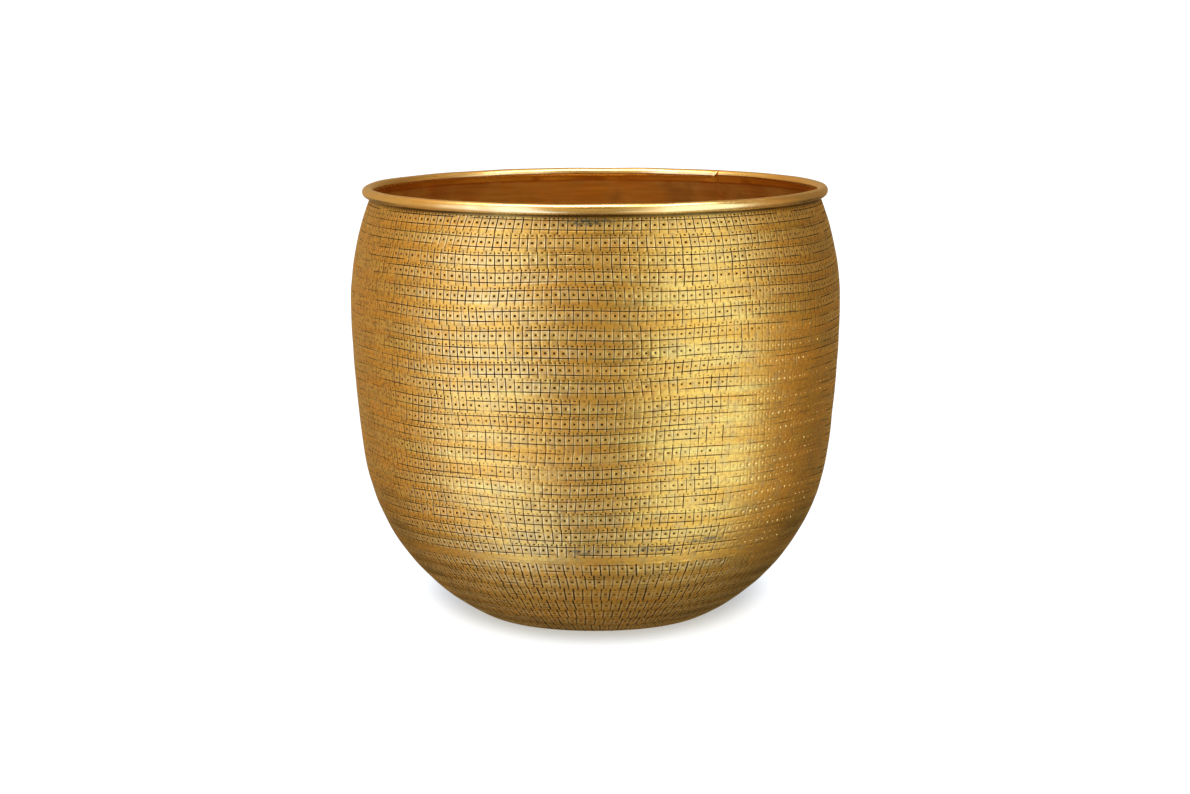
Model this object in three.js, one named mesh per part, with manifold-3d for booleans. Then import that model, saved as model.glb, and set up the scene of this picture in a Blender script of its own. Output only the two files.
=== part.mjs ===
// A round brass planter pot: a barrel wall rolled from sheet and brazed up one side, a dished base
// lapped and brazed inside its lower edge, and a polished strip rolled over a wire round the mouth.
// Millimetres, +Z up. The origin is the middle of the foot's underside, on the pot's axis.

import * as THREE from 'three';
import { mergeVertices } from 'three/addons/utils/BufferGeometryUtils.js';
import Module from 'manifold-3d';

const wasm = await Module();
wasm.setup();

// ---- driving dimensions ----

const SHEET = 1.0;              // thickness of the wall and the base
const CLEARANCE = 0.3;          // gap between pieces that touch
const FOOT_RADIUS = 52;         // edge of the flat that the pot stands on
const FOOT_HOLLOW_RADIUS = 38;  // middle of the base, pressed up clear of the table
const FOOT_HOLLOW_RISE = 1.5;
const FOOT_HOLLOW_BEND = 6;     // width of the slope between the flat and the hollow

// The outline is a chain of arcs that run into each other. It starts level at the foot's edge, and
// each arc has a radius and the heading, in degrees above level, at which it ends. A radius below
// zero bends the other way.
const BASE_ARCS = [
  { radius: 41.3, heading: 26, steps: 3 },    // foot bend
  { radius: 131.5, heading: 59, steps: 4 },   // lower heel
];
const WALL_ARCS = [
  { radius: 131.5, heading: 82.1, steps: 4 }, // upper heel
  { radius: 802, heading: 88.2, steps: 3 },   // side
  { radius: 178, heading: 110.9, steps: 6 },  // shoulder
  { radius: -3, heading: 90, steps: 2 },      // bend back into the upright lip
];

const LAP_HEIGHT = 8;           // how far the base runs up inside the wall
const BASE_FILLET = 2.4;        // height of the braze fillet that stands on the lap's edge

const LIP_TOP = 264.2;          // upper edge of the wall, inside the bead

const BEAD_CENTRE_RADIUS = 139.25;
const BEAD_CENTRE_HEIGHT = 263.8;
const BEAD_SECTION_RADIUS = 3.2;
const BEAD_STRIP = 0.7;         // thickness of the strip that is rolled into the bead
const BEAD_OUTER_END = -104;    // where the strip's section starts, under the bead, in degrees
const BEAD_INNER_END = 204;     // where it ends, inside the mouth
const BEAD_STEPS = 14;

const WIRE_RADIUS = 1.5;
const WIRE_CENTRE_RADIUS = 139.93;

const SEAM_ANGLE = 55;          // where the side seam and the rim's joint are, from +X towards +Y
const SEAM_SLOT = 1.4;          // width of the gap between the sheet's edges
const SEAM_BRAZE = 0.8;         // width of the braze that fills it

const AROUND = 60;              // facets round the pot
const WIRE_SIDES = 6;

// ---- materials ----

function brass(color, roughness) {
  return new THREE.MeshStandardMaterial({ color, roughness, metalness: 1 });
}

const stampedBrass = brass(0xb98f42, 0.38);
const polishedBrass = brass(0xd9ab52, 0.18);
const brazeMetal = brass(0xc2a25c, 0.5);
const steel = new THREE.MeshStandardMaterial({ color: 0x8d8d8a, roughness: 0.45, metalness: 1 });

// ---- outline ----

const radians = THREE.MathUtils.degToRad;
const degrees = THREE.MathUtils.radToDeg;

// Points along the arcs, all moved inward by inset. The start is where the arcs before have ended.
function arcPoints(arcs, start, inset) {
  const points = [start.point.clone()];
  let heading = start.heading;
  const at = start.point.clone();
  for (const arc of arcs) {
    const radius = arc.radius - inset;
    const turn = (radians(arc.heading) - heading) / arc.steps;
    for (let step = 0; step < arc.steps; step += 1) {
      const next = heading + turn;
      at.x += radius * (Math.sin(next) - Math.sin(heading));
      at.y += radius * (Math.cos(heading) - Math.cos(next));
      points.push(at.clone());
      heading = next;
    }
  }
  return points;
}

function baseOutline(inset) {
  return arcPoints(BASE_ARCS, { point: new THREE.Vector2(FOOT_RADIUS, inset), heading: 0 }, inset);
}

const seamHeading = radians(BASE_ARCS.at(-1).heading);
const lapHeading = seamHeading + LAP_HEIGHT / WALL_ARCS[0].radius;

function wallOutline(inset) {
  const start = { point: baseOutline(inset).at(-1), heading: seamHeading };
  return arcPoints(WALL_ARCS, start, inset);
}

function lapOutline(inset) {
  const start = { point: baseOutline(inset).at(-1), heading: seamHeading };
  return arcPoints([{ ...WALL_ARCS[0], heading: degrees(lapHeading), steps: 1 }], start, inset);
}

// Unit steps at a heading: onward along the outline, and inward through the metal.
function onward(heading) {
  return new THREE.Vector2(Math.cos(heading), Math.sin(heading));
}

function inward(heading) {
  return new THREE.Vector2(-Math.sin(heading), Math.cos(heading));
}

// ---- shapes ----

// A ring turned round the pot's axis from a closed outline of (radius, height) points. The lathe
// turns about Y, so the ring is stood up along Z.
function turned(points, closed) {
  const outline = closed ? [...points, points[0].clone()] : points;
  const geometry = new THREE.LatheGeometry(outline, AROUND);
  geometry.rotateX(Math.PI / 2);
  return geometry;
}

function toManifold(geometry) {
  const bare = geometry.clone();
  bare.deleteAttribute('normal');
  bare.deleteAttribute('uv');
  const merged = mergeVertices(bare, 1e-4);
  const corners = merged.index.array;
  const kept = [];
  for (let i = 0; i < corners.length; i += 3) {
    const [a, b, c] = corners.slice(i, i + 3);
    if (a !== b && b !== c && c !== a) kept.push(a, b, c);
  }
  const mesh = new wasm.Mesh({
    numProp: 3,
    vertProperties: merged.attributes.position.array,
    triVerts: new Uint32Array(kept),
  });
  return new wasm.Manifold(mesh);
}

function toGeometry(manifold) {
  const mesh = manifold.getMesh();
  const geometry = new THREE.BufferGeometry();
  geometry.setAttribute('position', new THREE.BufferAttribute(mesh.vertProperties, 3));
  geometry.setIndex(new THREE.BufferAttribute(mesh.triVerts, 1));
  return geometry;
}

// An upright block across the metal at the side seam, of the given width.
function seamBlock(width) {
  const reach = BEAD_CENTRE_RADIUS * 2;
  const block = new THREE.BoxGeometry(reach, width, LIP_TOP * 4);
  block.translate(reach / 2, 0, 0);
  block.rotateZ(radians(SEAM_ANGLE));
  return toManifold(block);
}

function openAtSeam(geometry) {
  return toGeometry(toManifold(geometry).subtract(seamBlock(SEAM_SLOT)));
}

function brazeAtSeam(geometry) {
  return toGeometry(toManifold(geometry).intersect(seamBlock(SEAM_BRAZE)));
}

// ---- pieces ----

// The wall ends below on a face square to the sheet, and above in an upright lip inside the bead.
function wallShell() {
  const outside = wallOutline(0);
  const inside = wallOutline(SHEET);
  outside.push(new THREE.Vector2(outside.at(-1).x, LIP_TOP));
  inside.push(new THREE.Vector2(inside.at(-1).x, LIP_TOP));
  return turned([...outside, ...inside.reverse()], true);
}

// The base is flush with the wall outside. At the seam it steps in by the sheet's thickness and
// runs up behind the wall.
function baseDish() {
  const hollow = (height) => [
    new THREE.Vector2(0, height + FOOT_HOLLOW_RISE),
    new THREE.Vector2(FOOT_HOLLOW_RADIUS - FOOT_HOLLOW_BEND, height + FOOT_HOLLOW_RISE),
    new THREE.Vector2(FOOT_HOLLOW_RADIUS, height),
  ];
  const outside = baseOutline(0);
  const lapOutside = lapOutline(SHEET + CLEARANCE);
  const lapInside = lapOutline(2 * SHEET + CLEARANCE);
  const inside = baseOutline(SHEET).slice(0, -1);
  const back = onward(seamHeading).negate();
  outside.at(-1).addScaledVector(back, CLEARANCE);
  lapOutside[0].addScaledVector(back, CLEARANCE);
  lapInside[0].addScaledVector(back, SHEET + CLEARANCE);
  return turned([
    ...hollow(0),
    ...outside,
    ...lapOutside,
    ...lapInside.reverse(),
    ...inside.reverse(),
    ...hollow(SHEET).reverse(),
  ], false);
}

// A fillet of braze in the corner between the lap's upper edge and the wall's inner face.
function baseSeamBraze() {
  const corner = lapOutline(SHEET + CLEARANCE).at(-1).addScaledVector(onward(lapHeading), CLEARANCE);
  const top = corner.clone().addScaledVector(onward(lapHeading), BASE_FILLET);
  const toe = corner.clone().addScaledVector(inward(lapHeading), SHEET);
  return turned([corner, top, toe], true);
}

// The strip's section is most of a circle. It is open below, where the wall's lip comes up into it.
function rimStrip() {
  const section = (radius) => {
    const points = [];
    for (let step = 0; step <= BEAD_STEPS; step += 1) {
      const angle = radians(BEAD_OUTER_END + (BEAD_INNER_END - BEAD_OUTER_END) * step / BEAD_STEPS);
      const x = BEAD_CENTRE_RADIUS + radius * Math.cos(angle);
      points.push(new THREE.Vector2(x, BEAD_CENTRE_HEIGHT + radius * Math.sin(angle)));
    }
    return points;
  };
  const inside = section(BEAD_SECTION_RADIUS - BEAD_STRIP).reverse();
  return turned([...section(BEAD_SECTION_RADIUS), ...inside], true);
}

function rimWire() {
  const wire = new THREE.TorusGeometry(WIRE_CENTRE_RADIUS, WIRE_RADIUS, WIRE_SIDES, AROUND);
  wire.translate(0, 0, BEAD_CENTRE_HEIGHT);
  return wire;
}

// ---- assembly ----

const group = new THREE.Group();

function add(name, geometry, material) {
  const mesh = new THREE.Mesh(geometry, material);
  mesh.name = name;
  group.add(mesh);
}

add('wall_shell', openAtSeam(wallShell()), stampedBrass);
add('base_dish', baseDish(), stampedBrass);
add('rim_bead', openAtSeam(rimStrip()), polishedBrass);
add('rim_wire', openAtSeam(rimWire()), steel);
add('base_seam_braze', baseSeamBraze(), brazeMetal);
add('side_seam_braze', brazeAtSeam(wallShell()), brazeMetal);
add('rim_joint_braze', brazeAtSeam(rimStrip()), brazeMetal);

export default group;
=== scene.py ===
"""The looks of a round brass planter pot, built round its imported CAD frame.

The wall and the base carry the real relief of the stamping: rows of squares with a dot in each,
rolled on by one pass of the tool after another. The rim is a smooth strip rolled over a wire. The
lengths below are in millimetres, as in the CAD, and become metres when a mesh is made.
"""

import math
from collections import namedtuple

import bmesh
import bpy
import numpy as np
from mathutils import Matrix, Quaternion, Vector


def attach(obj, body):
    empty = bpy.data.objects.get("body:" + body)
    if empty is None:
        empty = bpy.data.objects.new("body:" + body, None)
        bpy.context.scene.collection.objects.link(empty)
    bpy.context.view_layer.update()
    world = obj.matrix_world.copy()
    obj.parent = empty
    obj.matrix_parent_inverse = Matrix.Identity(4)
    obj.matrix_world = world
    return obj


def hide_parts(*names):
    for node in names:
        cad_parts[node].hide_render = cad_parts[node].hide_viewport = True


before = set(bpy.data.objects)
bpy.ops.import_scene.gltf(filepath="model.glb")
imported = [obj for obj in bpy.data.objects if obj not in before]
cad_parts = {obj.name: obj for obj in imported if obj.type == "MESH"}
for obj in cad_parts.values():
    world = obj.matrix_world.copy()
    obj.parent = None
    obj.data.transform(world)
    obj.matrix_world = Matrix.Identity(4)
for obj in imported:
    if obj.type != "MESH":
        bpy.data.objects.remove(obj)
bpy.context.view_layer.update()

# ---- driving dimensions, as in the CAD ----

MM = 0.001
SHEET = 1.0
CLEARANCE = 0.3
FOOT_RADIUS = 52.0
FOOT_HOLLOW_RADIUS = 38.0
FOOT_HOLLOW_RISE = 1.5
FOOT_HOLLOW_BEND = 6.0
# The outline's arcs: radius, and heading in degrees above level where the arc ends.
BASE_ARCS = ((41.3, 26.0), (131.5, 59.0))
WALL_ARCS = ((131.5, 82.1), (802.0, 88.2), (178.0, 110.9), (-3.0, 90.0))
LAP_HEIGHT = 8.0
LIP_TOP = 264.2
BEAD_CENTRE = (139.25, 263.8)
BEAD_SECTION_RADIUS = 3.2
BEAD_STRIP = 0.7
BEAD_OUTER_END = -104.0
BEAD_INNER_END = 204.0
WIRE_RADIUS = 1.5
WIRE_CENTRE_RADIUS = 139.93
SEAM_ANGLE = math.radians(55.0)
SEAM_SLOT = 1.4

# ---- the stamping ----

CELL = 5.35                  # pitch of the squares round the pot
WALL_ROWS = (101.7, 299.2)   # distances of the first and the last row along the outline
WALL_ROW_PITCH = 10.4        # mean distance from one pass to the next
WALL_ROW_SPREAD = 1.1        # most that a distance strays from the mean
BASE_ROWS = (9.4, 88.6)
BASE_ROW_PITCH = 11.3
BASE_ROW_SPREAD = 0.8
PLAIN_BAND = 2.3             # smooth on either side of the joint between the wall and the base
LIP_BAND = 0.6               # smooth under the lip
ROW_WANDER = 0.5             # how far a row strays up and down by itself on its way round
ROW_DRIFT = 1.5              # and together with its neighbours
DRIFT_FADE = 30.0            # the drift dies out over this distance to the first and the last row
DRIFT_LENGTH = 60.0          # and it differs between rows that lie this far apart
ROW_HALF = 2.82              # from a row's dots to its two level lines
ROW_LEAN = 0.09              # how far an upright line leans for each millimetre of its height
LINE_STRAY = 0.14            # how far one upright line is off its place sideways
LINE_WOBBLE = 0.12           # how far the places themselves sway
LINE_DEPTH = 0.2
DOT_HALF = 0.8
DOT_DEPTH = 0.36
WEAK_DOT_HALF = 0.5
BURR = 0.035                 # metal raised along a line's edges
WAVES = 26                   # slow dents and swells in the sheet
WAVE_SIZE = 0.08
SHARP_ANGLE = 24.0           # degrees above which an edge of the relief is shaded sharp

# How a tool marks the sheet: half the width of its lines, the least and the most that the upright
# ones run past a row, how hard the level ones are pressed, how bright the highlight painted on the
# lines' rubbed edges is, how pale a row is, and how far a square's middle may sink.
Tool = namedtuple("Tool", "line_half tail level shine pale dish")
WALL_TOOL = Tool(line_half=0.46, tail=(1.4, 4.5), level=0.62, shine=0.25, pale=1.0, dish=0.09)
BASE_TOOL = Tool(line_half=0.68, tail=(2.5, 7.5), level=0.12, shine=0.42, pale=0.5, dish=0.2)

# Patches of the side: the middle and the reach, each as an angle round the pot and a distance along
# the outline, and the strength. The relief and its soil fade in a worn patch. In a rubbed one the
# soil and the lines fade, and the dots get a painted glint.
WORN_PATCHES = (
    ((math.radians(192.0), 205.0), (math.radians(42.0), 165.0), 0.75),
    ((math.radians(-18.0), 292.0), (math.radians(38.0), 70.0), 0.4),
)
RUBBED_AND_GLINT_PATCHES = (
    ((math.radians(-38.0), 162.0), (math.radians(33.0), 118.0), 0.88),
    ((math.radians(-62.0), 190.0), (math.radians(36.0), 150.0), 0.35),
    ((math.radians(-114.0), 158.0), (math.radians(26.0), 62.0), 0.35),
)
LEVEL_RUBBING = 0.72         # how much of the rubbing reaches the level lines
LEVEL_LEFT = 0.2             # how hard the level lines are pressed at least, under full rubbing
LINES_LOST = 0.7             # how much shallower the lines are there
PAINTED_DOT_GLINT = 0.8              # and how bright the glint painted on the dots is

# ---- the rim's joint ----

SHORT_LEG = 34.0             # degrees that the strip's inner leg falls short on one side of the joint
SHORT_LEG_SPAN = 0.75        # how far round the pot it stays short, in radians
LEG_ROUNDING = 2.6           # the other side's leg ends in a rounded corner of this length
LEG_ROUNDING_DROP = 50.0     # and of this many degrees of the section
STRIP_SWAY = (0.12, 0.10)    # how uneven the strip is in radius and in height
STRIP_DROP = 0.1             # it sits this much low, so that its swells stay near the CAD's height


# ---- outline ----

class Outline:
    """A chain of arcs from the foot's edge to the lip, measured by the distance along it."""

    def __init__(self, arcs):
        self.radii = np.array([radius for radius, _ in arcs])
        ends = np.radians([end for _, end in arcs])
        self.headings = np.concatenate([[0.0], ends[:-1]])
        lengths = self.radii * (ends - self.headings)
        self.starts = np.concatenate([[0.0], np.cumsum(lengths)[:-1]])
        self.length = float(lengths.sum())
        self.r = [FOOT_RADIUS]
        self.z = [0.0]
        for radius, first, last in zip(self.radii, self.headings, ends):
            self.r.append(self.r[-1] + radius * (math.sin(last) - math.sin(first)))
            self.z.append(self.z[-1] + radius * (math.cos(first) - math.cos(last)))
        self.r = np.array(self.r[:-1])
        self.z = np.array(self.z[:-1])

    def at(self, distance, inset=0.0):
        """Radius and height at a distance along the outline, moved into the metal by inset."""
        distance = np.asarray(distance, dtype=float)
        arc = np.clip(np.searchsorted(self.starts, distance, side="right") - 1, 0, None)
        first = self.headings[arc]
        heading = first + (distance - self.starts[arc]) / self.radii[arc]
        r = self.r[arc] + self.radii[arc] * (np.sin(heading) - np.sin(first))
        z = self.z[arc] + self.radii[arc] * (np.cos(first) - np.cos(heading))
        return r - inset * np.sin(heading), z + inset * np.cos(heading)


outline = Outline(BASE_ARCS + WALL_ARCS)
SEAM_DISTANCE = Outline(BASE_ARCS).length


def smooth_step(edge, far_edge, value):
    t = np.clip((value - edge) / (far_edge - edge), 0.0, 1.0)
    return t * t * (3.0 - 2.0 * t)


def ring_noise(rng, angles, slowest, fastest, count=14):
    """Smooth values from about -1 to 1 that close on themselves round the pot."""
    waves = rng.integers(slowest, fastest, count)
    phases = rng.uniform(0.0, math.tau, count)
    total = sum(np.cos(wave * angles + phase) for wave, phase in zip(waves, phases))
    return total / math.sqrt(count / 2.0) / 1.6


# ---- mesh building ----

def corners(grid, closed):
    """The four values at the corners of each face of a grid, in order round the face."""
    if closed:
        grid = np.concatenate([grid, grid[:, :1]], axis=1)
    return np.stack([grid[:-1, :-1], grid[:-1, 1:], grid[1:, 1:], grid[1:, :-1]], axis=-1).reshape(-1, 4)


class Skin:
    """Collects the points, faces and point values of one mesh, in millimetres."""

    def __init__(self, value_names=()):
        self.points = []
        self.values = {name: [] for name in value_names}
        self.faces = []
        self.slots = []
        self.count = 0

    def add(self, angles, r, z, **values):
        """Adds points at cylinder coordinates and returns their numbers in the same layout."""
        angles, r, z = np.broadcast_arrays(angles, r, z)
        xyz = np.stack([r * np.cos(angles), r * np.sin(angles), z], axis=-1)
        self.points.append(xyz.reshape(-1, 3))
        for name, stored in self.values.items():
            stored.append(np.broadcast_to(values.get(name, 0.0), angles.shape).ravel())
        numbers = self.count + np.arange(angles.size).reshape(angles.shape)
        self.count += angles.size
        return numbers

    def take(self, faces, slot=0):
        self.faces.extend(faces)
        self.slots.extend([slot] * len(faces))

    def weave(self, numbers, closed, slot=0, depth=None):
        """Faces between the rows and columns of a grid of point numbers.

        Where a depth is given, each uneven face is cut in two along its deeper diagonal, so that a
        pressed point slopes evenly all round."""
        quads = corners(numbers, closed)
        if depth is None:
            self.take(quads.tolist(), slot)
            return
        depths = corners(depth, closed)
        lean = depths[:, 0] + depths[:, 2] - depths[:, 1] - depths[:, 3]
        level = np.abs(lean) < 1e-6
        self.take(quads[level].tolist(), slot)
        for rows, first, last in ((lean > 0, (0, 1, 2), (0, 2, 3)), (lean < 0, (0, 1, 3), (1, 2, 3))):
            rows = rows & ~level
            self.take(quads[rows][:, first].tolist() + quads[rows][:, last].tolist(), slot)

    def zip_rows(self, low, low_place, high, high_place, closed, slot=0):
        """Triangles between two rows of points with different spacing, by their places."""
        if closed:
            low = np.append(low, low[0])
            high = np.append(high, high[0])
            low_place = np.append(low_place, low_place[0] + math.tau)
            high_place = np.append(high_place, high_place[0] + math.tau)
        i = j = 0
        faces = []
        while i < len(low) - 1 or j < len(high) - 1:
            step_low = j == len(high) - 1 or (
                i < len(low) - 1 and low_place[i + 1] <= high_place[j + 1]
            )
            if step_low:
                faces.append((int(low[i]), int(low[i + 1]), int(high[j])))
                i += 1
            else:
                faces.append((int(low[i]), int(high[j + 1]), int(high[j])))
                j += 1
        self.take(faces, slot)

    def sweep(self, numbers, closed, slot=0):
        """Skin of a section carried along: rows go round the section, columns along the way."""
        self.weave(np.concatenate([numbers, numbers[:1]]), closed, slot)
        if not closed:
            self.take([numbers[:, 0].tolist(), numbers[::-1, -1].tolist()], slot)

    def height(self, numbers):
        return np.concatenate(self.points)[numbers, 2]

    def build(self, name, materials, sharp_angle):
        mesh = bpy.data.meshes.new(name)
        points = np.concatenate(self.points) * MM
        mesh.from_pydata(points.tolist(), [], self.faces)
        for value_name, stored in self.values.items():
            layer = mesh.attributes.new(value_name, "FLOAT", "POINT")
            layer.data.foreach_set("value", np.concatenate(stored).astype(np.float32))
        for material in materials:
            mesh.materials.append(material)
        mesh.polygons.foreach_set("material_index", np.array(self.slots, dtype=np.int32))
        finish_mesh(mesh, sharp_angle)
        piece = bpy.data.objects.new(name, mesh)
        bpy.context.scene.collection.objects.link(piece)
        return piece


def finish_mesh(mesh, sharp_angle):
    work = bmesh.new()
    work.from_mesh(mesh)
    bmesh.ops.recalc_face_normals(work, faces=work.faces)
    work.to_mesh(mesh)
    work.free()
    mesh.polygons.foreach_set("use_smooth", np.ones(len(mesh.polygons), dtype=bool))
    mesh.set_sharp_from_angle(angle=math.radians(sharp_angle))
    mesh.update()


# ---- stamped relief ----

class Pass:
    """One trip of the stamping tool round the pot: a row of squares with its own count and phase."""

    def __init__(self, seed, centre, ends, tool):
        self.rng = np.random.default_rng(seed)
        self.centre = centre
        self.line_half, self.tail, self.level, self.shine, self.pale, self.dish = tool
        from_end = min(centre - ends[0], ends[1] - centre)
        self.looseness = ROW_DRIFT * min(from_end / DRIFT_FADE, 1.0)
        self.radius = float(outline.at(centre)[0])
        self.cells = round(math.tau * self.radius / CELL)
        self.pitch = math.tau * self.radius / self.cells
        self.phase = self.rng.uniform(0.0, math.tau / self.cells)
        self.sway = self.rng.uniform(0.0, math.tau)
        self.boldness = self.rng.uniform(0.85, 1.0)

    def middle(self, angles):
        """Distance along the outline of the row's dots, as it wanders round the pot."""
        alone = np.cos(2.0 * angles + self.sway) + 0.6 * np.cos(5.0 * angles + 2.3 * self.sway)
        place = self.centre / DRIFT_LENGTH
        together = np.cos(3.0 * angles + place) + 0.7 * np.cos(8.0 * angles + 2.0 - 1.7 * place)
        return self.centre + ROW_WANDER * alone / 1.6 + self.looseness * together / 1.7

    def mirrored(self, edge):
        """A middle on the far side of a plain edge, so that the row's own half ends there."""
        return lambda angles: 2.0 * edge - self.middle(angles)

    def per_cell(self, numbers, low, high):
        return self.rng.uniform(low, high, self.cells)[numbers]

    def patches(self, angles, mean, spread, slowest, fastest):
        """How hard the tool was pressed at each angle."""
        return np.clip(mean + spread * ring_noise(self.rng, angles, slowest, fastest), 0.0, 1.15)


def cell_columns(row, open_at_seam):
    """Columns of points for a row's cells: angle, distance to the line and to the dot, numbers."""
    dot = row.pitch / 2
    across = np.array([0.0, row.line_half, dot - DOT_HALF, dot, dot + DOT_HALF])
    across = np.append(across, row.pitch - row.line_half) / row.pitch
    cell = np.repeat(np.arange(row.cells), len(across))
    offset = np.tile(across, row.cells)
    from_line = np.minimum(offset, 1.0 - offset) * row.pitch
    from_dot = np.abs(offset - 0.5) * row.pitch
    line = (cell + (offset > 0.5)) % row.cells
    first = SEAM_ANGLE if open_at_seam else 0.0
    angles = first + (row.phase + (cell + offset) * math.tau / row.cells) % math.tau
    order = np.argsort(angles)
    if not open_at_seam:
        return tuple(kind[order] for kind in (angles, from_line, from_dot, cell, line))
    margin = SEAM_SLOT / row.radius
    order = order[(angles[order] > first + margin) & (angles[order] < first + math.tau - margin)]
    plain = row.pitch
    return (
        np.concatenate([[first], angles[order], [first + math.tau]]),
        np.concatenate([[plain], from_line[order], [plain]]),
        np.concatenate([[plain], from_dot[order], [plain]]),
        np.concatenate([[0], cell[order], [0]]),
        np.concatenate([[0], line[order], [0]]),
    )


def at_slot(angles, r):
    """Moves the first and the last column of a grid to the edges of the slot at the side seam."""
    angles = np.broadcast_to(angles, r.shape).copy()
    angles[:, 0] = SEAM_ANGLE + SEAM_SLOT / 2 / r[:, 0]
    angles[:, -1] = SEAM_ANGLE + math.tau - SEAM_SLOT / 2 / r[:, -1]
    return angles


def patched(patches, angles, distance):
    """How strongly any of the patches is felt at a place on the side, from 0 to 1."""
    total = 0.0
    for middle, reach, strength in patches:
        around = (angles - middle[0] + math.pi) % math.tau - math.pi
        across = np.hypot(around / reach[0], (distance - middle[1]) / reach[1])
        total = np.maximum(total, strength * smooth_step(1.0, 0.4, across))
    return total


def waviness(angles, distance):
    """Slow dents and swells that the stamping leaves in the sheet, none at the foot's edge."""
    rng = np.random.default_rng(77)
    total = 0.0
    for _ in range(WAVES):
        around = rng.integers(0, 19)
        along = math.tau / rng.uniform(14.0, 70.0)
        size = WAVE_SIZE / (1.0 + 0.16 * around + 9.0 * along)
        total = total + size * np.cos(around * angles + along * distance + rng.uniform(0, math.tau))
    return total * smooth_step(0.0, 40.0, distance)


def row_offsets(line_half, gap_down, gap_up):
    """Distances from the row's middle at which a pass has rows of points."""
    full = np.ones_like(gap_up)
    free = gap_up - line_half
    weak = ROW_HALF + line_half + 0.5 * free
    weak_half = np.minimum(WEAK_DOT_HALF, 0.35 * free)
    steps = (ROW_HALF + line_half, ROW_HALF, ROW_HALF - line_half)
    return np.stack([
        -(ROW_HALF + 0.8 * gap_down),
        *(-step * full for step in steps),
        -DOT_HALF * full,
        0.0 * full,
        DOT_HALF * full,
        *(step * full for step in reversed(steps)),
        weak - weak_half,
        weak,
        weak + weak_half,
    ])


# Which of those rows of points carry the level lines, the dots and the weak dots above.
LEVEL_LINES = [2, 8]
DOTS = 5
WEAK_DOTS = 11


def press(row, angles, from_line, from_dot, cell, line, offsets):
    """How deep each point of a pass is pressed: lines, and dots, each from 0 to about 1."""
    on_line = from_line < 1e-3
    on_dot = from_dot < 1e-3
    force = row.patches(angles, mean=0.9, spread=0.4, slowest=3, fastest=60)
    force = force * row.per_cell(line, 0.45, 1.25)
    reach = np.abs(offsets) - ROW_HALF - row.line_half
    tails = np.where(offsets > 0, row.per_cell(line, *row.tail), row.per_cell(line, *row.tail))
    lines = force * on_line * np.clip(1.0 - reach / tails, 0.0, 1.0)
    weak = row.patches(angles, mean=0.6, spread=0.45, slowest=2, fastest=34)
    lines[0] = np.maximum(lines[0], 0.35 * weak * on_line)
    lines[WEAK_DOTS - 1:] = np.maximum(lines[WEAK_DOTS - 1:], 0.5 * weak * on_line)
    unevenness = 0.1 + 0.65 * row.level
    for level in LEVEL_LINES:
        lines[level] = row.patches(angles, mean=row.level, spread=unevenness, slowest=3, fastest=40)
    dots = np.zeros_like(offsets)
    firmness = 0.62 + 0.53 * row.level
    dots[DOTS] = row.patches(angles, mean=firmness, spread=0.35, slowest=3, fastest=60)
    dots[DOTS] = dots[DOTS] * row.per_cell(cell, 0.75, 1.15) * on_dot
    dots[WEAK_DOTS] = weak * on_dot
    return row.boldness * lines, row.boldness * dots


def burr(row, from_line, offsets, force):
    """Metal raised beside the lines of a pass, from 0 to 1."""
    beside = np.abs(from_line - row.line_half) < 1e-3
    raised = np.where(beside & (np.abs(offsets) < ROW_HALF + 1.0), 1.0, 0.0)
    for level in LEVEL_LINES:
        raised[[level - 1, level + 1]] = np.maximum(raised[[level - 1, level + 1]], force[level])
    return raised


def stamp_row(skin, row, below, above, open_at_seam):
    """Adds one pass of the stamping, up to halfway to the rows below and above it."""
    angles, from_line, from_dot, cell, line = cell_columns(row, open_at_seam)
    middle = row.middle(angles)
    gap_down = (middle - below(angles)) / 2.0 - ROW_HALF
    gap_up = (above(angles) - middle) / 2.0 - ROW_HALF
    offsets = row_offsets(row.line_half, gap_down, gap_up)
    distance = middle + offsets
    worn = patched(WORN_PATCHES, angles, distance)
    rubbed_and_glint = patched(RUBBED_AND_GLINT_PATCHES, angles, distance)
    lines, dots = press(row, angles, from_line, from_dot, cell, line, offsets)
    lines[:, from_line >= row.pitch] = 0.0
    lines[LEVEL_LINES] = np.maximum(lines[LEVEL_LINES], LEVEL_LEFT * rubbed_and_glint[LEVEL_LINES])
    rubbed_and_glint[LEVEL_LINES] *= LEVEL_RUBBING
    lines = lines * (1.0 - LINES_LOST * rubbed_and_glint)
    raised = burr(row, from_line, offsets, lines)
    pressed = np.maximum(LINE_DEPTH * lines, DOT_DEPTH * dots)
    dish = row.per_cell(cell, 0.0, row.dish) * (from_dot < DOT_HALF * 1.1)
    dish = dish * smooth_step(ROW_HALF, DOT_HALF, np.abs(offsets))
    relief = np.where(pressed > 0.0, -pressed, BURR * raised) - dish
    relief = relief * (1.0 - worn)
    r, z = outline.at(distance, -relief - waviness(angles, distance))
    lean = ROW_LEAN * ring_noise(row.rng, angles, 1, 14)
    sideways = row.per_cell(line, -LINE_STRAY, LINE_STRAY)
    sideways = sideways + LINE_WOBBLE * ring_noise(row.rng, angles, 8, 60)
    turned = angles + (lean * offsets + sideways) / row.radius
    if open_at_seam:
        turned = at_slot(turned, r)
    soil = (1.0 - worn) * (1.0 - rubbed_and_glint)
    # Soil darkens the lines and dots; values below zero are a painted highlight beside the lines.
    groove = np.where(pressed > 0.0, np.maximum(lines, dots), -row.shine * raised) * soil
    stamped = row.pale * smooth_step(ROW_HALF + 1.5, ROW_HALF - 0.4, np.abs(offsets))
    # In rubbed patches the dots take a painted glint, as values below zero.
    numbers = skin.add(
        turned, r, z,
        groove=groove - PAINTED_DOT_GLINT * dots * rubbed_and_glint,
        stamped=stamped * (1.0 - rubbed_and_glint),
        worn=worn,
    )
    skin.weave(numbers, closed=not open_at_seam, depth=-relief)
    return numbers, turned


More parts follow.
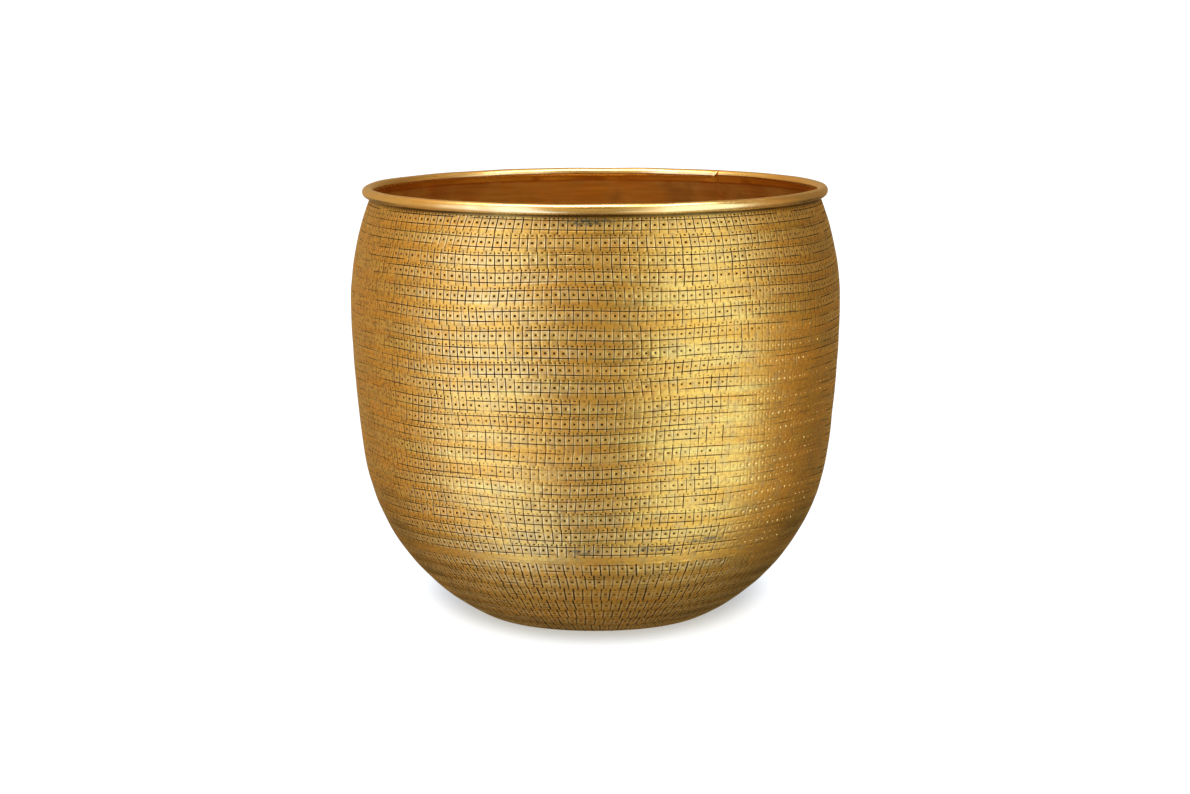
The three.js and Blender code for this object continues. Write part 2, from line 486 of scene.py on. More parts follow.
def row_centres(first, last, pitch, spread, seed):
    """Where the passes lie between two distances along the outline, unevenly spaced by hand."""
    count = round((last - first) / pitch)
    steps = pitch + np.random.default_rng(seed).uniform(-spread, spread, count)
    return first + np.concatenate([[0.0], np.cumsum(steps)]) * (last - first) / steps.sum()


def stamped_band(skin, rows, low_edge, high_edge, open_at_seam):
    """All the passes between two plain edges. Returns the grids of points in order."""
    closed = not open_at_seam
    grids = []
    for index, row in enumerate(rows):
        below = rows[index - 1].middle if index else row.mirrored(low_edge)
        above = rows[index + 1].middle if index + 1 < len(rows) else row.mirrored(high_edge)
        grids.append(stamp_row(skin, row, below, above, open_at_seam))
    for (low, low_turned), (high, high_turned) in zip(grids, grids[1:]):
        skin.zip_rows(low[-1], low_turned[-1], high[0], high_turned[0], closed)
    return grids


# ---- pieces ----

STAMPED_VALUES = ("groove", "stamped", "worn")   # what the wall's and the base's points carry
PLAIN_COLUMNS = 240
PLAIN_STEP = 6.0             # distance between rows of points on the plain inside
FOOT_RINGS = (44.0, 49.0)    # rings of points on the foot's flat and on the floor above it
HUB = 1.5                    # radius of the ring of points round the axis


def plain_angles(open_at_seam):
    if open_at_seam:
        return SEAM_ANGLE + np.linspace(0.0, math.tau, PLAIN_COLUMNS + 1)
    return np.arange(PLAIN_COLUMNS) * math.tau / PLAIN_COLUMNS


def plain_rows(skin, r, z, open_at_seam):
    """Adds rings of points at the given radii and heights, without faces."""
    angles = plain_angles(open_at_seam)
    shape = np.broadcast_shapes(np.shape(r), (len(angles),))
    r = np.broadcast_to(r, shape)
    turned = at_slot(angles, r) if open_at_seam else np.broadcast_to(angles, shape)
    return skin.add(turned, r, z), turned


def inside_rows(skin, distances, inset, open_at_seam):
    """Rings on a face inside the metal, which shows the slow dents but not the stamping."""
    angles = plain_angles(open_at_seam)
    along = np.asarray(distances)[:, None]
    r, z = outline.at(along, inset - waviness(angles, along))
    return plain_rows(skin, r, z, open_at_seam)


def wall(stamped, inside):
    skin = Skin(STAMPED_VALUES)
    centres = row_centres(*WALL_ROWS, WALL_ROW_PITCH, WALL_ROW_SPREAD, seed=5)
    rows = [Pass(100 + index, centre, WALL_ROWS, WALL_TOOL) for index, centre in enumerate(centres)]
    low_edge = SEAM_DISTANCE + PLAIN_BAND
    angles = plain_angles(True)

    foot = np.array([[SEAM_DISTANCE], [low_edge]])
    r, z = outline.at(foot, -waviness(angles, foot))
    plain, plain_turned = plain_rows(skin, r, z, True)
    skin.weave(plain, closed=False)
    top_edge = outline.length - LIP_BAND
    grids = stamped_band(skin, rows, low_edge, top_edge, open_at_seam=True)
    skin.zip_rows(plain[-1], plain_turned[-1], grids[0][0][0], grids[0][1][0], closed=False)

    lip_r, lip_z = outline.at(np.array([[top_edge], [outline.length]]), 0.0)
    lip_r = np.append(lip_r, lip_r[-1:], axis=0)
    lip_z = np.append(lip_z, [[LIP_TOP]], axis=0)
    lip, lip_turned = plain_rows(skin, lip_r, lip_z, True)
    skin.weave(lip, closed=False)
    skin.zip_rows(grids[-1][0][-1], grids[-1][1][-1], lip[0], lip_turned[0], closed=False)

    steps = np.arange(SEAM_DISTANCE, outline.length, PLAIN_STEP)
    within, within_turned = inside_rows(skin, steps, SHEET, True)
    inner_lip, inner_lip_turned = plain_rows(skin, lip_r[1:] - SHEET, lip_z[1:], True)
    within = np.concatenate([within, inner_lip])
    skin.weave(within, closed=False, slot=1)
    skin.zip_rows(plain[0], plain_turned[0], within[0], within_turned[0], closed=False)
    skin.zip_rows(lip[-1], lip_turned[-1], within[-1], inner_lip_turned[-1], closed=False)

    outside = [plain, *(grid for grid, _ in grids), lip]
    for column in (0, -1):
        outer_edge = np.concatenate([grid[:, column] for grid in outside])
        inner_edge = within[:, column]
        skin.zip_rows(
            outer_edge, skin.height(outer_edge), inner_edge, skin.height(inner_edge), closed=False
        )
    piece = skin.build("wall", (stamped, inside), SHARP_ANGLE)
    return finished(piece, "wall_shell")


def hollow_rows(height):
    """Radii and heights of the pressed-up middle of the base, from the middle outward."""
    bend = FOOT_HOLLOW_RADIUS - FOOT_HOLLOW_BEND
    t = np.linspace(0.0, 1.0, 9)
    r = np.concatenate([np.linspace(HUB, bend - 2.0, 8), bend + t * FOOT_HOLLOW_BEND])
    rise = np.concatenate([np.ones(8), 1.0 - smooth_step(0.0, 1.0, t)])
    return r[:, None], height + FOOT_HOLLOW_RISE * rise[:, None]


def fan(skin, height, ring, slot=0):
    """Closes the small ring of points round the axis."""
    centre = int(skin.add(0.0, 0.0, height)[()])
    pairs = zip(ring.tolist(), np.roll(ring, -1).tolist())
    skin.take([(centre, a, b) for a, b in pairs], slot)


def base(stamped, inside):
    skin = Skin(STAMPED_VALUES)
    centres = row_centres(*BASE_ROWS, BASE_ROW_PITCH, BASE_ROW_SPREAD, seed=6)
    rows = [Pass(300 + index, centre, BASE_ROWS, BASE_TOOL) for index, centre in enumerate(centres)]
    high_edge = SEAM_DISTANCE - PLAIN_BAND
    joint = SEAM_DISTANCE - CLEARANCE
    angles = plain_angles(False)

    hollow_r, hollow_z = hollow_rows(0.0)
    rings = np.array(FOOT_RINGS)[:, None]
    foot_r = np.concatenate([hollow_r, rings, [[FOOT_RADIUS]]])
    foot_z = np.concatenate([hollow_z, 0.0 * rings, [[0.0]]])
    foot_edge = np.array([[1.5], [3.0]])
    edge_r, edge_z = outline.at(foot_edge)
    under, under_turned = plain_rows(
        skin, np.concatenate([foot_r, edge_r]), np.concatenate([foot_z, edge_z]), False
    )
    skin.weave(under, closed=True)
    fan(skin, FOOT_HOLLOW_RISE, under[0])
    grids = stamped_band(skin, rows, foot_edge[-1, 0], high_edge, open_at_seam=False)
    skin.zip_rows(under[-1], under_turned[-1], grids[0][0][0], grids[0][1][0], closed=True)

    lap_end = SEAM_DISTANCE + LAP_HEIGHT
    brim = np.array([[high_edge], [joint]])
    r, z = outline.at(brim, -waviness(angles, brim))
    plain, plain_turned = plain_rows(skin, r, z, False)
    skin.zip_rows(grids[-1][0][-1], grids[-1][1][-1], plain[0], plain_turned[0], closed=True)
    lap_outside = inside_rows(skin, [joint, lap_end], SHEET + CLEARANCE, False)[0]
    lap_inside = inside_rows(skin, [lap_end, joint], 2 * SHEET + CLEARANCE, False)[0]
    steps = np.arange(joint - 1.5, 0.0, -PLAIN_STEP)
    within = inside_rows(skin, steps, SHEET, False)[0]
    floor_r, floor_z = hollow_rows(SHEET)
    floor_r = np.concatenate([rings[::-1], floor_r[::-1]])
    floor_z = np.concatenate([0.0 * rings + SHEET, floor_z[::-1]])
    floor = plain_rows(skin, floor_r, floor_z, False)[0]
    skin.weave(np.concatenate([plain, lap_outside]), closed=True)
    skin.weave(np.concatenate([lap_outside[-1:], lap_inside, within, floor]), closed=True, slot=1)
    fan(skin, FOOT_HOLLOW_RISE + SHEET, floor[-1], slot=1)
    piece = skin.build("base", (stamped, inside), SHARP_ANGLE)
    return finished(piece, "base_dish")


def bead_end(angles):
    """Where the rim strip's section ends inside the mouth, in degrees, round the pot."""
    past = np.mod(SEAM_ANGLE - angles, math.tau)
    short = SHORT_LEG * smooth_step(SHORT_LEG_SPAN, 0.1, past)
    before = BEAD_CENTRE[0] * np.mod(angles - SEAM_ANGLE, math.tau)
    rounding = np.clip(1.0 - (before - SEAM_SLOT / 2) / LEG_ROUNDING, 0.0, 1.0)
    return BEAD_INNER_END - short - LEG_ROUNDING_DROP * (1.0 - np.sqrt(1.0 - rounding**2))


def bead_section(angles, inner, outer, steps=22):
    """The strip's C-shaped section at each angle: rows of radius and height round the section."""
    last = np.radians(bead_end(angles))
    first = math.radians(BEAD_OUTER_END)
    t = np.linspace(0.0, 1.0, steps)[:, None]
    along = first + (last - first) * t
    half = (outer - inner) / 2
    middle = (outer + inner) / 2
    turn = np.linspace(0.0, math.pi, 5)[1:-1, None]
    rows = [np.stack([outer * np.cos(along), outer * np.sin(along)])]
    for end, sign in ((last, 1.0), (first, -1.0)):
        out = middle + sign * half * np.cos(turn)
        on = sign * half * np.sin(turn)
        end = np.broadcast_to(end, angles.shape)
        rows.append(np.stack([
            out * np.cos(end) - on * np.sin(end), out * np.sin(end) + on * np.cos(end)
        ]))
        if sign > 0:
            rows.append(np.stack([inner * np.cos(along[::-1]), inner * np.sin(along[::-1])]))
    section = np.concatenate(rows, axis=1)
    return BEAD_CENTRE[0] + section[0], BEAD_CENTRE[1] + section[1]


def slotted_angles(count, radius, half_slot):
    """Evenly spaced angles round the pot from one side of the slot to the other."""
    margin = half_slot / radius
    return SEAM_ANGLE + np.linspace(margin, math.tau - margin, count)


def rim(material):
    skin = Skin()
    angles = slotted_angles(481, BEAD_CENTRE[0], SEAM_SLOT / 2)
    inner = BEAD_SECTION_RADIUS - BEAD_STRIP
    r, z = bead_section(angles, inner, BEAD_SECTION_RADIUS)
    rng = np.random.default_rng(11)
    r = r + STRIP_SWAY[0] * ring_noise(rng, angles, 2, 26)
    z = z + STRIP_SWAY[1] * ring_noise(rng, angles, 2, 22) - STRIP_DROP
    skin.sweep(skin.add(angles, r, z), closed=False)
    return finished(skin.build("rim", (material,), 40.0), "rim_bead")


def wire(material):
    skin = Skin()
    angles = slotted_angles(241, WIRE_CENTRE_RADIUS, SEAM_SLOT / 2)
    turn = np.linspace(0.0, math.tau, 12, endpoint=False)[:, None]
    r = WIRE_CENTRE_RADIUS + WIRE_RADIUS * np.cos(turn)
    z = BEAD_CENTRE[1] + WIRE_RADIUS * np.sin(turn)
    skin.sweep(skin.add(angles, r, z), closed=False)
    return finished(skin.build("wire", (material,), 40.0), "rim_wire")


def base_joint(material):
    """Braze that has run through the lap: flush in the joint outside, a fillet inside."""
    skin = Skin()
    seam = SEAM_DISTANCE
    lap = seam + LAP_HEIGHT
    film = SHEET + CLEARANCE
    section = np.array([
        (seam - CLEARANCE - 0.08, 0.02), (seam - CLEARANCE / 2, -0.04), (seam + 0.08, 0.02),
        (seam + 0.05, SHEET - 0.05), (lap, SHEET - 0.05), (lap + 2.7, SHEET - 0.02),
        (lap + 1.5, SHEET + 0.22), (lap + 0.7, SHEET + 0.55), (lap + 0.25, SHEET + 0.95),
        (lap + 0.0, 2 * SHEET + 0.1), (lap - 0.05, film + 0.05),
        (seam - CLEARANCE - 0.05, film + 0.05),
    ])
    angles = plain_angles(False)
    rng = np.random.default_rng(21)
    along = section[:, :1] + 0.25 * ring_noise(rng, angles, 6, 60) * (section[:, :1] > lap + 0.1)
    r, z = outline.at(along, section[:, 1:] - waviness(angles, along))
    skin.sweep(skin.add(angles, r, z), closed=True)
    return finished(skin.build("base_joint", (material,), 50.0), "base_seam_braze")


def lens(half_width, count=5):
    """Places across a braze line, and how far its skin stands proud of the sheet there."""
    across = np.linspace(-half_width, half_width, count)
    return across, 0.07 * (1.0 - (across / half_width) ** 2) - 0.03


def side_joint(material):
    """Braze that fills the wall's slot from the base's joint to the lip."""
    skin = Skin()
    across, proud = lens(SEAM_SLOT / 2 + 0.06)
    places = np.concatenate([across, across[::-1]])[:, None]
    inset = np.concatenate([-proud, SHEET + proud[::-1]])[:, None]
    rng = np.random.default_rng(31)
    distance = np.linspace(SEAM_DISTANCE + 0.2, outline.length, 160)
    uneven = 1.0 + 0.5 * ring_noise(rng, distance / outline.length * math.tau, 8, 50)
    inset = SHEET / 2 + (inset - SHEET / 2) * (1.0 + 0.06 * uneven)
    r, z = outline.at(distance, inset - waviness(SEAM_ANGLE, distance))
    r = np.concatenate([r, r[:, -1:]], axis=1)
    z = np.concatenate([z, np.full((len(z), 1), LIP_TOP - 0.1)], axis=1)
    skin.sweep(skin.add(SEAM_ANGLE + places / r, r, z), closed=False)
    return finished(skin.build("side_joint", (material,), 50.0), "side_seam_braze")


def rim_joint(material):
    """Braze that fills the gap between the ends of the rim's strip."""
    skin = Skin()
    across, proud = lens(SEAM_SLOT / 2 + 0.06, 7)
    angles = SEAM_ANGLE - across / BEAD_CENTRE[0]
    end = np.full_like(angles, SEAM_ANGLE - 0.02)
    inner = BEAD_SECTION_RADIUS - BEAD_STRIP + 0.04
    r, z = bead_section(end, inner, BEAD_SECTION_RADIUS - 0.04)
    grow = 1.0 + (proud + 0.04) / BEAD_SECTION_RADIUS
    r = BEAD_CENTRE[0] + (r - BEAD_CENTRE[0]) * grow
    z = BEAD_CENTRE[1] + (z - BEAD_CENTRE[1]) * grow - STRIP_DROP
    skin.sweep(skin.add(angles, r, z), closed=False)
    return finished(skin.build("rim_joint", (material,), 50.0), "rim_joint_braze")


def finished(piece, node):
    """What every piece gets: it moves with the root body, and the CAD node it stands for is hidden."""
    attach(piece, "root")
    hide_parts(node)
    return piece


# ---- materials ----

class Graph:
    """Short calls for the nodes of one node tree."""

    def __init__(self, tree, coordinates):
        self.tree = tree
        tree.nodes.clear()
        self.place = self.node("TexCoord").outputs[coordinates]

    def node(self, kind):
        return self.tree.nodes.new("ShaderNode" + kind)

    def put(self, socket, value):
        if isinstance(value, bpy.types.NodeSocket):
            self.tree.links.new(value, socket)
        elif isinstance(value, (tuple, list)) and len(value) == 3 and socket.type == "RGBA":
            socket.default_value = (*value, 1.0)
        else:
            socket.default_value = value

    def axis(self, name):
        """One coordinate of the place."""
        node = self.node("SeparateXYZ")
        self.put(node.inputs[0], self.place)
        return node.outputs[name]

    def math(self, operation, a, b=0.0, clamp=False):
        node = self.node("Math")
        node.operation = operation
        node.use_clamp = clamp
        self.put(node.inputs[0], a)
        self.put(node.inputs[1], b)
        return node.outputs[0]

    def vector(self, operation, a, b=(0.0, 0.0, 0.0), output="Vector"):
        node = self.node("VectorMath")
        node.operation = operation
        self.put(node.inputs[0], a)
        self.put(node.inputs[1], b)
        return node.outputs[output]

    def ramp(self, value, low, high, to_low=0.0, to_high=1.0):
        node = self.node("MapRange")
        node.interpolation_type = "SMOOTHSTEP"
        for socket, given in zip(node.inputs, (value, low, high, to_low, to_high)):
            self.put(socket, given)
        return node.outputs[0]

    def mix(self, amount, a, b, blend="MIX"):
        node = self.node("Mix")
        node.data_type = "RGBA"
        node.blend_type = blend
        self.put(node.inputs["Factor"], amount)
        self.put(node.inputs[6], a)
        self.put(node.inputs[7], b)
        return node.outputs[2]

    def value(self, name):
        node = self.node("Attribute")
        node.attribute_name = name
        return node.outputs["Fac"]

    def noise(self, scale, stretch=(1.0, 1.0, 1.0), detail=2.0, offset=(0.0, 0.0, 0.0)):
        mapping = self.node("Mapping")
        mapping.inputs["Scale"].default_value = stretch
        mapping.inputs["Location"].default_value = offset
        self.put(mapping.inputs["Vector"], self.place)
        node = self.node("TexNoise")
        node.inputs["Scale"].default_value = scale
        node.inputs["Detail"].default_value = detail
        self.put(node.inputs["Vector"], mapping.outputs["Vector"])
        return node.outputs["Fac"]

    def near(self, centre, reach):
        """1 close to a place, falling to 0 at a reach that differs along X, Y and Z."""
        away = self.vector("SUBTRACT", self.place, centre)
        away = self.vector("DIVIDE", away, reach)
        return self.ramp(self.vector("LENGTH", away, output="Value"), 1.0, 0.3)


class Finish(Graph):
    """A procedural material: one shader, whose values come from the graph."""

    def __init__(self, name):
        self.material = bpy.data.materials.new(name)
        self.material.use_nodes = True
        super().__init__(self.material.node_tree, "Object")
        self.shader = self.node("BsdfPrincipled")
        output = self.node("OutputMaterial")
        self.tree.links.new(self.shader.outputs["BSDF"], output.inputs["Surface"])

    def set(self, **values):
        for name, value in values.items():
            self.put(self.shader.inputs[name.replace("_", " ")], value)

    def bump(self, height, distance, strength):
        node = self.node("Bump")
        node.inputs["Distance"].default_value = distance
        self.put(node.inputs["Strength"], strength)
        self.put(node.inputs["Height"], height)
        self.put(self.shader.inputs["Normal"], node.outputs["Normal"])


STREAK = (1.0, 1.0, 9.0)     # noise drawn out along the rows
BEAD_SHADE_HEIGHTS = (0.2576, 0.2596)    # heights, in metres, between which painted shade darkens the metal under the bead
SOILED = (0.0, 0.24)         # values of the soil in the lines between which the sheet turns dark
# Spots of grey-green tarnish: centre, reach each way and strength, in metres.
SMUDGES = (
    ((-0.004, -0.139, 0.2565), (0.020, 0.012, 0.0034), 0.95),
    ((-0.008, -0.126, 0.061), (0.015, 0.012, 0.0032), 0.7),
    ((0.032, -0.122, 0.062), (0.017, 0.014, 0.0030), 0.8),
    ((0.062, -0.112, 0.066), (0.020, 0.014, 0.0030), 0.7),
)


ORANGE_GOLD = (0.84, 0.515, 0.10)
PALE_GOLD = (0.80, 0.56, 0.155)
DEEP_STREAK = (0.83, 0.46, 0.07)
LEMON_STREAK = (0.84, 0.64, 0.17)
OLIVE_MOTTLE = (0.62, 0.44, 0.15)
COPPER_FLUSH = (0.84, 0.44, 0.10)
GRAIN_BROWN = (0.48, 0.28, 0.07)
SPECK_BROWN = (0.42, 0.24, 0.07)
PAINTED_HIGHLIGHT_GOLD = (0.95, 0.74, 0.34)
LINE_BLACK = (0.04, 0.02, 0.005)
LINE_BROWN = (0.10, 0.055, 0.015)
CREASE_SHADE_AND_GRIME = (0.06, 0.032, 0.008)
GREY_TARNISH = (0.10, 0.115, 0.085)
BARE_BRASS = (0.60, 0.335, 0.06)
BARE_BRASS_LIGHT = (0.70, 0.42, 0.09)


def stamped_colour(graph, groove, stamped, worn):
    """Orange gold between the rows, paler in them, mottled from cell to cell, dark in the lines; painted
    highlights beside the lines and on rubbed dots, painted shade under the bead.
    """
    streaks = graph.noise(14.0, STREAK, 4.0)
    blotches = graph.noise(22.0, (1.0, 1.0, 2.0), 3.0, (3.0, 1.0, 2.0))
    mottle = graph.noise(150.0, (1.0, 1.0, 1.0), 2.0, (8.0, 0.0, 3.0))
    flush = graph.noise(110.0, (1.0, 1.0, 2.0), 2.0, (1.0, 9.0, 4.0))
    speckle = graph.noise(420.0, (1.0, 1.0, 1.3), 3.0, (0.0, 3.0, 7.0))
    grain = graph.noise(900.0, (1.0, 1.0, 1.6), 2.0)
    paler = graph.math("MULTIPLY", stamped, graph.ramp(blotches, 0.3, 0.65, 0.35, 1.0), clamp=True)
    metal = graph.mix(paler, ORANGE_GOLD, PALE_GOLD)
    metal = graph.mix(graph.ramp(streaks, 0.48, 0.66), metal, DEEP_STREAK)
    metal = graph.mix(graph.ramp(streaks, 0.45, 0.3, 0.0, 0.8), metal, LEMON_STREAK)
    metal = graph.mix(graph.ramp(mottle, 0.5, 0.68, 0.0, 0.6), metal, OLIVE_MOTTLE)
    metal = graph.mix(graph.ramp(flush, 0.55, 0.72, 0.0, 0.6), metal, COPPER_FLUSH)
    metal = graph.mix(graph.ramp(grain, 0.35, 0.75, 0.0, 0.55), metal, GRAIN_BROWN)
    specks = graph.math("MULTIPLY", graph.ramp(speckle, 0.48, 0.62), graph.ramp(worn, 0.0, 0.7, 0.4, 0.8))
    metal = graph.mix(specks, metal, SPECK_BROWN)
    # Painted highlight: where the values go below zero, beside the lines and on rubbed dots.
    bright = graph.ramp(groove, -0.3 * WALL_TOOL.shine, -WALL_TOOL.shine, 0.0, 0.6)
    metal = graph.mix(bright, metal, PAINTED_HIGHLIGHT_GOLD)
    dark = graph.mix(graph.ramp(blotches, 0.3, 0.7), LINE_BLACK, LINE_BROWN)
    metal = graph.mix(graph.ramp(groove, *SOILED), metal, dark)
    # Painted shade, with some grime, in the crease under the bead.
    crease_shade_and_grime = graph.ramp(graph.axis("Z"), *BEAD_SHADE_HEIGHTS)
    crease_shade_and_grime = graph.math("MULTIPLY", crease_shade_and_grime, graph.ramp(streaks, 0.25, 0.6, 0.75, 1.0))
    metal = graph.mix(crease_shade_and_grime, metal, CREASE_SHADE_AND_GRIME)
    for centre, reach, strength in SMUDGES:
        tarnish = graph.ramp(speckle, 0.42, 0.6, 0.2, strength)
        tarnish = graph.math("MULTIPLY", graph.near(centre, reach), tarnish)
        metal = graph.mix(tarnish, metal, GREY_TARNISH)
    return metal


def stamped_brass():
    """Lacquered brass sheet that has been stamped all over by hand."""
    graph = Finish("stamped_brass")
    groove = graph.value("groove")
    stamped = graph.value("stamped")
    worn = graph.value("worn")
    soiled = graph.ramp(groove, *SOILED)
    rough = graph.ramp(graph.noise(14.0, STREAK, 4.0), 0.3, 0.7, 0.32, 0.42)
    rough = graph.math("ADD", rough, graph.math("MULTIPLY", stamped, 0.07))
    rough = graph.math("ADD", rough, graph.math("MULTIPLY", soiled, 0.3), clamp=True)
    graph.set(
        Base_Color=stamped_colour(graph, groove, stamped, worn),
        Metallic=1.0, Roughness=rough, Coat_Weight=0.03, Coat_Roughness=0.3,
    )
    graph.bump(graph.noise(1100.0, (1.0, 1.0, 2.0), 3.0), 0.0001, graph.ramp(worn, 0.0, 0.7, 0.35, 0.9))
    return graph.material


def shade_under_bead(graph, metal):
    """Painted shade: deep orange on the metal inside the mouth, close under the bead."""
    return graph.mix(graph.ramp(graph.axis("Z"), *BEAD_SHADE_HEIGHTS), metal, (0.47, 0.155, 0.01))


def inside_brass():
    """The bare inside of the pot: matte orange brown, with turning marks and tarnish."""
    graph = Finish("inside_brass")
    marks = graph.noise(30.0, (1.0, 1.0, 14.0), 5.0)
    tarnish = graph.noise(40.0, (1.0, 1.0, 1.4), 5.0, (5.0, 2.0, 0.0))
    metal = graph.mix(graph.ramp(marks, 0.35, 0.65), BARE_BRASS, BARE_BRASS_LIGHT)
    metal = graph.mix(graph.ramp(tarnish, 0.52, 0.72, 0.0, 0.6), metal, (0.36, 0.19, 0.04))
    rough = graph.ramp(tarnish, 0.3, 0.7, 0.44, 0.6)
    graph.set(Base_Color=shade_under_bead(graph, metal), Metallic=1.0, Roughness=rough)
    graph.bump(graph.noise(500.0, (1.0, 1.0, 6.0), 3.0), 0.0001, 0.5)
    return graph.material


def polished_brass():
    """The rim's strip: smooth and bright, with fine scratches round it and faint tarnish."""
    graph = Finish("polished_brass")
    scratches = graph.noise(160.0, (1.0, 1.0, 12.0), 5.0)
    tarnish = graph.noise(28.0, (1.0, 1.0, 1.0), 4.0)
    metal = graph.mix(graph.ramp(tarnish, 0.42, 0.7), (0.90, 0.66, 0.27), (0.82, 0.51, 0.16))
    rough = graph.ramp(tarnish, 0.35, 0.7, 0.22, 0.32)
    rough = graph.math("ADD", rough, graph.ramp(scratches, 0.45, 0.75, 0.0, 0.10))
    graph.set(Base_Color=metal, Metallic=1.0, Roughness=rough, Coat_Weight=0.42, Coat_Roughness=0.2)
    graph.bump(scratches, 0.00006, 0.35)
    return graph.material


def drawn_steel():
    """The rim's wire: grey steel with marks along it and a little rust."""
    graph = Finish("steel_wire")
    marks = graph.noise(300.0, (1.0, 1.0, 5.0), 4.0)
    rust = graph.noise(60.0, (1.0, 1.0, 1.0), 4.0)
    metal = graph.mix(graph.ramp(marks, 0.3, 0.7), (0.36, 0.35, 0.33), (0.5, 0.49, 0.47))
    metal = graph.mix(graph.ramp(rust, 0.56, 0.7, 0.0, 0.6), metal, (0.22, 0.12, 0.06))
    graph.set(Base_Color=metal, Metallic=1.0, Roughness=graph.ramp(rust, 0.4, 0.7, 0.35, 0.6))
    graph.bump(marks, 0.00005, 0.4)
    return graph.material


def braze_metal():
    """Braze that has run and set, the inside's colour and burnt in places."""
    graph = Finish("braze")
    flow = graph.noise(220.0, (1.0, 1.0, 1.0), 4.0)
    burnt = graph.noise(90.0, (1.0, 1.0, 1.0), 3.0, (2.0, 4.0, 1.0))
    metal = graph.mix(graph.ramp(flow, 0.3, 0.7), BARE_BRASS, BARE_BRASS_LIGHT)
    metal = graph.mix(graph.ramp(burnt, 0.52, 0.72, 0.0, 0.7), metal, (0.30, 0.15, 0.04))
    rough = graph.ramp(flow, 0.3, 0.7, 0.42, 0.6)
    graph.set(Base_Color=shade_under_bead(graph, metal), Metallic=1.0, Roughness=rough)
    graph.bump(flow, 0.0002, 0.4)
    return graph.material


# ---- studio ----

CAMERA_PLACE = Vector((-0.0005, -2.5, 0.4667))
CAMERA_AIM = Vector((-0.0005, 0.0, 0.1359))
CAMERA_LENS = 123.8
CAMERA_ROLL = math.radians(-0.22)
LIGHT_AIM = Vector((0.0, 0.0, 0.14))
WHITE = (1.0, 1.0, 1.0)
LEFT_LIGHT = (0.70, 1.03, 1.95)
RIGHT_LIGHT = (0.80, 1.03, 1.4)
FRONT_TINT = (1.24, 0.87, 0.34)   # of the room, as the metal sees it
BACK_TINT = (1.0, 0.64, 0.28)
WARM_TINT = (1.3, 0.78, 0.24)
DARK_SPOT = ((0.0, -0.84, 0.54), (0.32, 0.4, 0.28))   # direction of a dark stretch of ceiling
WARM_SPOT = ((1.0, 0.1, -0.1), (0.6, 0.5, 1.5))       # and of a lighter wall on the right
SHADOW_CENTRE = (0.0, 0.16, 0.0)
SHADOW_REACH = (0.100, 0.228, 1.0)
SHADOW_EDGE = (1.30, 0.88)        # the shadow comes in between these, in reaches
SHADOW_BACK = (0.27, 0.06)        # and it has faded out between these, behind the pot
PAPER_GLOW = (0.95, 0.42)         # in the light and in the shadow
FLOOR_RADIUS = 16.0


def add_camera():
    data = bpy.data.cameras.new("camera")
    data.lens = CAMERA_LENS
    data.sensor_width = 36.0
    camera = bpy.data.objects.new("camera", data)
    bpy.context.scene.collection.objects.link(camera)
    camera.location = CAMERA_PLACE
    camera.rotation_mode = "QUATERNION"
    aim = (CAMERA_AIM - CAMERA_PLACE).to_track_quat("-Z", "Y")
    camera.rotation_quaternion = aim @ Quaternion((0.0, 0.0, 1.0), CAMERA_ROLL)
    bpy.context.scene.camera = camera


def softbox(name, azimuth, elevation, distance, size, power, colour=WHITE):
    """A rectangular light that faces the pot. Azimuth 0 is the camera's side, 90 its right."""
    data = bpy.data.lights.new(name, "AREA")
    data.shape = "RECTANGLE"
    data.size, data.size_y = size
    data.energy = power
    data.color = colour
    light = bpy.data.objects.new(name, data)
    bpy.context.scene.collection.objects.link(light)
    around = math.radians(azimuth)
    up = math.radians(elevation)
    away = Vector((
        math.sin(around) * math.cos(up), -math.cos(around) * math.cos(up), math.sin(up)
    ))
    light.location = LIGHT_AIM + away * distance
    light.rotation_mode = "QUATERNION"
    light.rotation_quaternion = (-away).to_track_quat("-Z", "Y")
    return light


def add_lights():
    """Tall boxes either side and one overhead. They light the metal and leave the paper alone."""
    boxes = (
        softbox(
            "key_left", azimuth=-52.0, elevation=-14.0, distance=1.6,
            size=(1.45, 4.2), power=21.4, colour=LEFT_LIGHT,
        ),
        softbox(
            "fill_right", azimuth=51.5, elevation=-12.0, distance=1.6,
            size=(1.6, 4.0), power=27.0, colour=RIGHT_LIGHT,
        ),
        softbox("overhead", azimuth=-6.0, elevation=80.0, distance=1.5, size=(2.2, 0.7), power=26.0),
    )
    for box in boxes:
        box.visible_diffuse = False


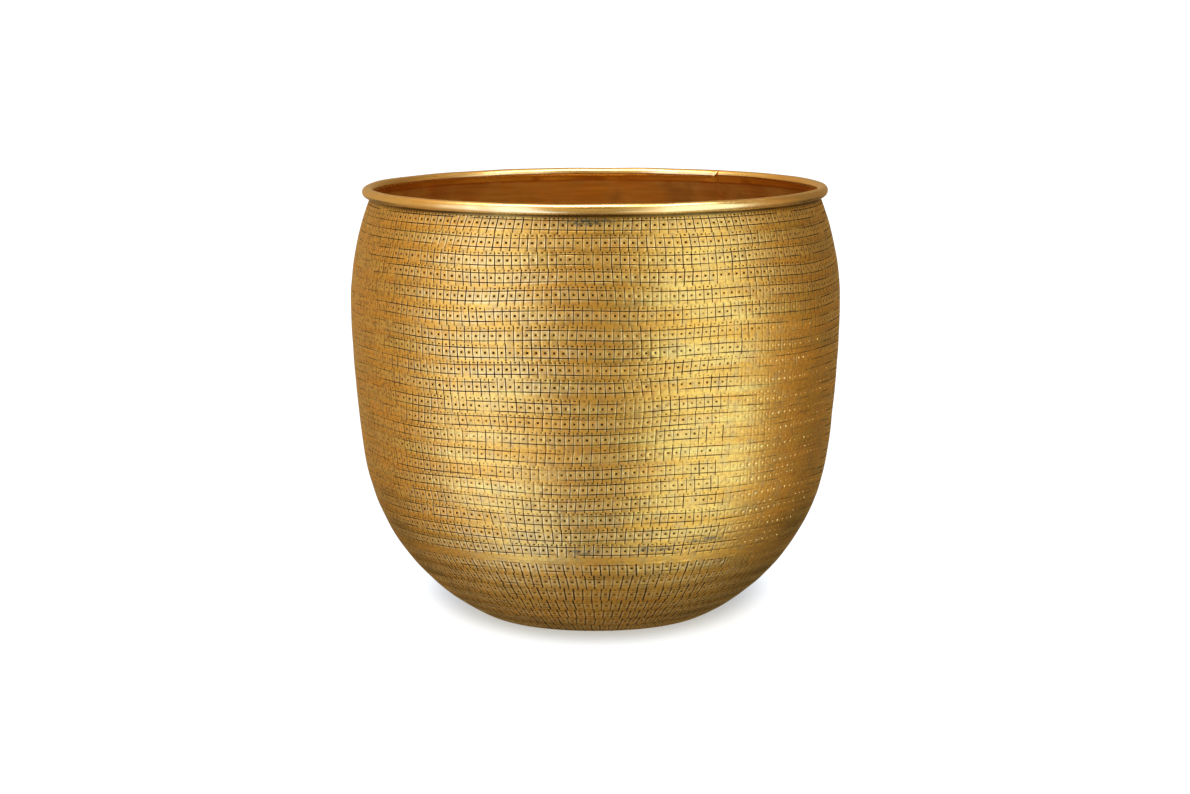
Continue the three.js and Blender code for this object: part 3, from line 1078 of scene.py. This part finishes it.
def add_world():
    """White to the camera. The metal sees a warm room, lighter on the left and from above, with a
    dark stretch of ceiling in front, a lighter wall on the right and a dark floor behind."""
    world = bpy.data.worlds.new("studio")
    bpy.context.scene.world = world
    world.use_nodes = True
    graph = Graph(world.node_tree, "Generated")
    level = graph.ramp(graph.axis("Z"), -0.9, -0.1, 0.31, 0.475)
    level = graph.math("ADD", level, graph.ramp(graph.axis("Z"), 0.55, 0.9, 0.0, 0.35))
    level = graph.math("MULTIPLY", level, graph.ramp(graph.axis("X"), -1.0, 1.0, 1.27, 0.52))
    warm = graph.near(*WARM_SPOT)
    under = graph.ramp(graph.axis("Z"), -0.14, -0.38)
    under = graph.math("MULTIPLY", under, graph.ramp(graph.axis("Y"), 0.4, 0.8))
    for where, times in ((graph.near(*DARK_SPOT), 0.3), (warm, 1.55), (under, 0.22)):
        level = graph.math("MULTIPLY", level, graph.ramp(where, 0.0, 1.0, 1.0, times))
    tint = graph.mix(graph.ramp(graph.axis("Y"), -0.1, 0.7), FRONT_TINT, BACK_TINT)
    tint = graph.mix(warm, tint, WARM_TINT)
    path = graph.node("LightPath")
    tint = graph.mix(path.outputs["Is Glossy Ray"], WHITE, tint)
    background = graph.node("Background")
    room = graph.mix(1.0, tint, level, "MULTIPLY")
    graph.put(background.inputs["Color"], graph.mix(path.outputs["Is Camera Ray"], room, WHITE))
    output = graph.node("OutputWorld")
    graph.tree.links.new(background.outputs[0], output.inputs["Surface"])


def floor_material():
    """Glowing white paper, with a soft shadow painted into its glow, like the one a light beside the
    camera would leave.
    """
    graph = Finish("paper")
    shadow = graph.vector("DIVIDE", graph.vector("SUBTRACT", graph.place, SHADOW_CENTRE), SHADOW_REACH)
    shadow = graph.ramp(graph.vector("LENGTH", shadow, output="Value"), *SHADOW_EDGE)
    shadow = graph.math("MULTIPLY", shadow, graph.ramp(graph.axis("Y"), *SHADOW_BACK))
    graph.set(Base_Color=(0.35, 0.43, 0.55), Roughness=0.9, Specular_IOR_Level=0.0)
    graph.set(Emission_Color=WHITE, Emission_Strength=graph.ramp(shadow, 0.0, 1.0, *PAPER_GLOW))
    return graph.material


def add_floor():
    mesh = bpy.data.meshes.new("floor")
    work = bmesh.new()
    bmesh.ops.create_circle(work, cap_ends=True, segments=64, radius=FLOOR_RADIUS)
    work.to_mesh(mesh)
    work.free()
    floor = bpy.data.objects.new("floor", mesh)
    bpy.context.scene.collection.objects.link(floor)
    mesh.materials.append(floor_material())
    floor.visible_glossy = False
    floor.visible_diffuse = False
    floor.visible_shadow = False


# ---- assembly ----

stamped_metal = stamped_brass()
inside_metal = inside_brass()
braze = braze_metal()
wall(stamped_metal, inside_metal)
base(stamped_metal, inside_metal)
rim(polished_brass())
wire(drawn_steel())
base_joint(braze)
side_joint(braze)
rim_joint(braze)
add_camera()
add_lights()
add_world()
add_floor()
bpy.context.scene.view_settings.view_transform = "Standard"
